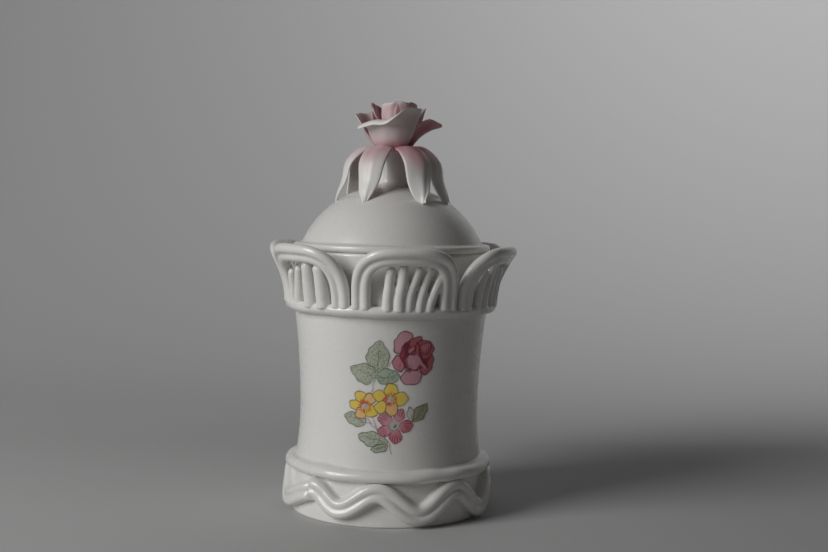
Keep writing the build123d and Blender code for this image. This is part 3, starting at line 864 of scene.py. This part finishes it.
class Petal:
    """A petal's shape, as in the CAD model, with the ruffles of the fired one added."""

    def __init__(self, angle, length, half_width, foot_lean, lip_lean, lip_turn, bend, foot_radius, foot_z,
                 seed, longer=0.0, crown=0.15, flap=0.0, rolled=False, tilt=1.2, ruffle=0.35):
        self.angle, self.length, self.half_width = angle, length, half_width
        self.foot_lean, self.lip_lean, self.lip_turn = foot_lean, lip_lean, lip_turn
        self.bend, self.foot_radius, self.foot_z, self.seed = bend, foot_radius, foot_z, seed
        self.longer, self.crown, self.flap, self.rolled = longer, crown, flap, rolled
        self.tilt, self.ruffle = tilt, ruffle

    def lean(self, share, side):
        past_lip = max(0.0, share - PETAL_LIP_STARTS) / (1 - PETAL_LIP_STARTS)
        turn = self.lip_turn * (1 - self.flap * smooth((side + 0.1) / 0.7))
        steady = between(self.foot_lean, self.lip_lean, min(share / PETAL_LIP_STARTS, 1))
        return radians(steady + turn * (past_lip if self.rolled else past_lip**1.5))

    def climb(self, share, side):
        """Radius and height of the middle line at a share, for the length that the petal has at this side."""
        length = self.length * (1 - self.crown * side * side + self.longer * side)
        length *= 1 + 0.03 * share**3 * wander(side * 3.1, self.seed)
        radius, z = self.foot_radius, self.foot_z
        steps = 28
        for k in range(steps):
            here = self.lean(share * (k + 0.5) / steps, side)
            radius += sin(here) * length * share / steps
            z += cos(here) * length * share / steps
        return radius, z

    def point(self, side, share):
        radius, z = self.climb(share, side)
        wide = between(PETAL_FOOT_SHARE, 1.0, sin(min(share * 1.3, 1.0) * pi / 2))
        offset = side * self.half_width * wide
        ripple = self.ruffle * share**2 * wander(side * 2.6, share * 1.5, self.seed + 3)
        bend = between(self.foot_radius + 0.6, self.bend, smooth(share * 1.6))
        if not self.rolled:
            inward = -side * share * self.tilt + ripple
            return across_sheet(self.angle, radius, z, self.lean(share, side), offset, bend, inward)
        lip_root = self.climb(min(share, PETAL_LIP_STARTS), side)[0]
        turn = offset / bend
        reach = bend + radius - lip_root - ripple
        out, sideways = lip_root - bend + reach * cos(turn), reach * sin(turn)
        a = radians(self.angle)
        x = out * sin(a) + sideways * cos(a)
        y = -out * cos(a) + sideways * sin(a)
        return np.array((x, y, z + 0.5 * ripple))


STEM_RADIUS = 4.8
SEPAL_BULGE_RADIUS = 16.2
SEPAL_TIP_RADIUS = 19.0


def sepal_line(share):
    """Radius, height and lean of a sepal's middle line: out from the neck, over, and down to the dome."""
    tip_z = dome_z(SEPAL_TIP_RADIUS) + 0.25
    knots = (
        (STEM_RADIUS - 1.0, NECK_Z - 0.8),
        (between(STEM_RADIUS, SEPAL_BULGE_RADIUS, 0.45), NECK_Z - 0.4),
        (between(STEM_RADIUS, SEPAL_BULGE_RADIUS, 0.88), between(NECK_Z, tip_z, 0.26)),
        (SEPAL_BULGE_RADIUS, between(NECK_Z, tip_z, 0.62)),
        (SEPAL_TIP_RADIUS, tip_z),
    )
    # A smooth curve through the knots, the same as a Catmull-Rom spline.
    t = clamp(share) * (len(knots) - 1)
    k = min(int(t), len(knots) - 2)
    u = t - k
    p = [np.array(knots[min(max(k + d, 0), len(knots) - 1)], dtype=float) for d in (-1, 0, 1, 2)]
    if k == 0:
        p[0] = 2 * p[1] - p[2]
    if k == len(knots) - 2:
        p[3] = 2 * p[2] - p[1]
    place = 0.5 * (2 * p[1] + (p[2] - p[0]) * u + (2 * p[0] - 5 * p[1] + 4 * p[2] - p[3]) * u**2
                   + (3 * p[1] - p[0] - 3 * p[2] + p[3]) * u**3)
    slope = 0.5 * ((p[2] - p[0]) + 2 * (2 * p[0] - 5 * p[1] + 4 * p[2] - p[3]) * u
                   + 3 * (3 * p[1] - p[0] - 3 * p[2] + p[3]) * u**2)
    return place[0], place[1], atan2(slope[0], slope[1])


# Sepals: angle, how much of the width lies more on one side, how far one edge stands out, the pull on the
# half width at the middle, and how much pink.
SEPALS = (
    (-84.0, 0.0, 0.0, 7.8, 0.35),
    (-29.0, 0.0, 0.3, 7.4, 0.60),
    (29.0, 0.20, -1.2, 8.0, 0.85),
    (64.0, 0.0, -0.6, 7.2, 0.85),
    (102.0, 0.0, -0.4, 8.6, 0.70),
    (145.0, 0.0, -0.3, 9.0, 0.60),
    (-172.0, 0.0, -0.3, 9.0, 0.60),
    (-129.0, 0.0, -0.3, 9.0, 0.50),
)
SEPAL_NECK_HALF = 3.0
SEPAL_TIP_HALF = 1.1
SEPAL_BEND = 9.0


def sepal(number, angle, skew, tilt, middle_half, pink, material):
    """A drooping sepal with a soft fold beside its middle and a tip that flicks out."""

    def point(side, share):
        radius, z, lean = sepal_line(share)
        half = SEPAL_NECK_HALF * (1 - share) ** 2 + 2 * middle_half * share * (1 - share)
        half += SEPAL_TIP_HALF * share**2
        half *= sqrt(1 - smooth((share - 0.86) / 0.14) * 0.75)
        offset = side * half + skew * half * 4 * share * (1 - share)
        flick = 0.9 * smooth((share - 0.85) / 0.15) * (0.5 + wander(number, 2.2))
        ripple = 0.30 * wander(side * 2.0, share * 2, number)
        fold = 0.6 * exp(-((side - 0.35 + 0.25 * share) / 0.3) ** 2) * share * (1 - 0.8 * share)
        inward = -side * share * tilt + ripple * share - flick + fold
        return across_sheet(angle, radius, z, lean, offset, -SEPAL_BEND, inward)

    def blush(side, share, face):
        top = smooth((0.80 - share - 0.12 * abs(side)) / 0.46)
        return pink * top * (0.85 + 0.35 * wander(side * 2, share * 5, number))

    def thickness(side, share):
        return between(1.5, 0.85, smooth(share * 3)) * between(1.0, 0.85, share)

    return sheet(f"sepal_{number}", point, blush, thickness, material, (f"sepal_{number}",))


OUTER_PETALS = (
    dict(angle=-12.0, length=14.0, half_width=10.4, foot_lean=58.0, lip_lean=16.0, lip_turn=150.0, bend=8.4,
         longer=0.10, crown=0.10, flap=0.92, rolled=True, ruffle=1.2),
    dict(angle=84.0, length=13.0, half_width=6.2, foot_lean=34.0, lip_lean=58.0, lip_turn=24.0, bend=6.8,
         crown=0.30),
    dict(angle=135.0, length=14.8, half_width=6.6, foot_lean=52.0, lip_lean=16.0, lip_turn=16.0, bend=8.5),
    dict(angle=-170.0, length=14.8, half_width=6.8, foot_lean=52.0, lip_lean=12.0, lip_turn=16.0, bend=8.5),
    dict(angle=-122.0, length=14.0, half_width=6.4, foot_lean=54.0, lip_lean=26.0, lip_turn=12.0, bend=9.0,
         crown=0.12),
)
INNER_PETALS = (
    dict(angle=58.0, length=10.8, half_width=5.0, foot_lean=36.0, lip_lean=10.0, lip_turn=20.0, bend=6.0),
    dict(angle=-104.0, length=11.4, half_width=3.6, foot_lean=30.0, lip_lean=16.0, lip_turn=30.0, bend=5.0,
         crown=0.45, ruffle=0.8),
    dict(angle=150.0, length=10.8, half_width=4.8, foot_lean=28.0, lip_lean=6.0, lip_turn=20.0, bend=6.0,
         crown=0.20),
    dict(angle=5.0, length=10.6, half_width=5.0, foot_lean=30.0, lip_lean=6.0, lip_turn=14.0, bend=5.5,
         longer=0.05, ruffle=0.7),
)
OUTER_FOOT_RADIUS = 4.8
INNER_FOOT_RADIUS = 2.9
INNER_LIFT = 4.0
# Pink inside and outside each petal, and how white its lip is left.
OUTER_PINKS = (
    (0.25, 0.30, 1.0), (0.85, 0.55, 0.2), (0.75, 0.55, 0.3), (0.55, 0.45, 0.5), (1.0, 0.45, 0.6),
)
INNER_PINKS = ((0.75, 0.65, 0.3), (0.95, 0.85, 0.15), (0.65, 0.55, 0.4), (0.50, 0.40, 0.5))


def rose_petal(name, petal, pink_inside, pink_outside, white_lip, material):
    """One petal, pinker at its foot and left white along its lip."""

    def blush(side, share, face):
        inside = face == 0
        base = pink_inside if inside else pink_outside
        edge = max(abs(side), share)
        lip = smooth((edge - 0.80) / 0.2) * white_lip
        foot = smooth((0.38 - share) / 0.38) * 0.5
        mottle = 0.14 * wander(side * 2, share * 3, petal.seed + (0 if inside else 20))
        return clamp(base + foot + mottle) * (1 - lip)

    def thickness(side, share):
        return between(1.3, 0.62, smooth(share * 2))

    return sheet(name, petal.point, blush, thickness, material, (name,))


HEART_TURNS = 1.5
HEART_INNER_RADIUS = 0.6
HEART_PITCH = 1.3
HEART_HEIGHT = 9.4
HEART_LIFT = 5.2


def rose(material):
    """Five outer petals, four inner ones and a rolled heart."""
    for i, (shape, pinks) in enumerate(zip(OUTER_PETALS, OUTER_PINKS), 1):
        petal = Petal(foot_radius=OUTER_FOOT_RADIUS, foot_z=NECK_Z, seed=i, **shape)
        rose_petal(f"outer_petal_{i}", petal, *pinks, material)
    for i, (shape, pinks) in enumerate(zip(INNER_PETALS, INNER_PINKS), 1):
        petal = Petal(foot_radius=INNER_FOOT_RADIUS, foot_z=NECK_Z + INNER_LIFT, seed=10 + i, **shape)
        rose_petal(f"inner_petal_{i}", petal, *pinks, material)

    def heart_point(side, share):
        turn = HEART_TURNS * (side + 1) / 2
        radius = HEART_INNER_RADIUS + HEART_PITCH * turn + 0.5 * share
        up = HEART_HEIGHT * share * (1 - 0.14 * turn)
        return round_box(360 * turn, radius, NECK_Z + HEART_LIFT + up)

    def heart_blush(side, share, face):
        return 0.5 - 0.35 * smooth((share - 0.8) / 0.2)

    def heart_thickness(side, share):
        return 0.8

    sheet(
        "rose_heart", heart_point, heart_blush, heart_thickness, material, ("rose_heart",),
        across=61, along=15,
    )


# ---------------------------------------------------------------- stage, light and camera

def stage():
    """A pale floor that sweeps up into a pale backdrop. Lengths are in metres."""
    half_width, front, back, curve, height = 1.6, -1.4, 0.55, 0.35, 1.4
    pale_grey = (0.50, 0.50, 0.50, 1)
    profile = [(front, 0.0), (back - curve, 0.0)]
    steps = 16
    for i in range(1, steps + 1):
        a = pi / 2 * i / steps
        profile.append((back - curve + curve * sin(a), curve - curve * cos(a)))
    profile.append((back, height))
    points = [(x, y, z) for y, z in profile for x in (-half_width, half_width)]
    faces = [(2 * i, 2 * i + 1, 2 * i + 3, 2 * i + 2) for i in range(len(profile) - 1)]
    mesh = bpy.data.meshes.new("floor")
    mesh.from_pydata(points, [], faces)
    mesh.shade_smooth()
    material = bpy.data.materials.new("floor")
    material.use_nodes = True
    shader = material.node_tree.nodes["Principled BSDF"]
    shader.inputs["Base Color"].default_value = pale_grey
    shader.inputs["Roughness"].default_value = 0.85
    mesh.materials.append(material)
    floor = bpy.data.objects.new("floor", mesh)
    bpy.context.scene.collection.objects.link(floor)


def area_light(name, place, target, size, power, colour):
    data = bpy.data.lights.new(name, "AREA")
    data.shape = "RECTANGLE"
    data.size, data.size_y = size
    data.energy = power
    data.color = colour
    light = bpy.data.objects.new(name, data)
    light.location = place
    light.rotation_euler = (Vector(target) - Vector(place)).to_track_quat("-Z", "Y").to_euler()
    bpy.context.scene.collection.objects.link(light)


def lights():
    """A soft window at front left, and a lamp behind the box that only washes the backdrop, at the right."""
    target = (0, 0, 0.07)
    bearing, height, distance = radians(-57), radians(23), 0.68
    away = sin(bearing) * cos(height), -cos(bearing) * cos(height), sin(height)
    place = tuple(t + distance * a for t, a in zip(target, away))
    area_light("window", place, target, size=(0.30, 0.42), power=2.9, colour=(1.0, 1.0, 0.995))
    wash_place, wash_target = (0.38, 0.10, 0.46), (0.38, 0.55, 0.46)
    area_light("backdrop_wash", wash_place, wash_target, size=(0.6, 0.25), power=2.2, colour=(1.0, 0.99, 1.0))
    world = bpy.data.worlds.new("soft_sky")
    world.use_nodes = True
    world.node_tree.nodes["Background"].inputs["Color"].default_value = (1.0, 0.985, 0.965, 1)
    world.node_tree.nodes["Background"].inputs["Strength"].default_value = 0.035
    bpy.context.scene.world = world


def camera():
    """A camera in front of the box, a little above its gallery, as in the photograph."""
    distance, eye_height = 0.397, 0.0984
    pitch, turn, roll = 3.5, -1.04, 1.2
    data = bpy.data.cameras.new("camera")
    data.sensor_width = 36.0
    data.lens = 53.9
    made = bpy.data.objects.new("camera", data)
    made.location = (0, -distance, eye_height)
    aimed = Euler((radians(90 - pitch), 0, radians(turn))).to_matrix()
    made.rotation_euler = (aimed @ Matrix.Rotation(radians(roll), 3, "Z")).to_euler()
    bpy.context.scene.collection.objects.link(made)
    bpy.context.scene.camera = made


def build():
    """Glazes the three carried-over solids, then adds every piece of trim and the finial."""
    white = glaze("white_glaze")
    tinted = glaze("tinted_glaze", painted="blush", roughness=SATIN, coat=0.12)
    for name in ("cup", "lid", "finial_stem"):
        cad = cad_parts[name]
        cad.data.materials.clear()
        cad.data.materials.append(white)
    coil("foot_coil_glazed", FOOT_COIL_Z, FOOT_COIL_ROD, FOOT_COIL_STANDS, 0.75, white, "foot_coil")
    coil(
        "gallery_coil_glazed", GALLERY_COIL_Z, GALLERY_COIL_ROD, GALLERY_COIL_STANDS, 0.40, white,
        "gallery_coil",
    )
    foot_wave("foot_wave_a", -45.8, 130.8, white, "foot_wave_right")
    foot_wave("foot_wave_b", 129.2, 315.8, white, "foot_wave_left")
    printed_spray(glaze("printed_glaze", painted="ink"))
    gallery(white)
    for i, shape in enumerate(SEPALS, 1):
        sepal(i, *shape, tinted)
    rose(tinted)


build()
stage()
lights()
camera()
scene = bpy.context.scene
scene.view_settings.view_transform = "Standard"
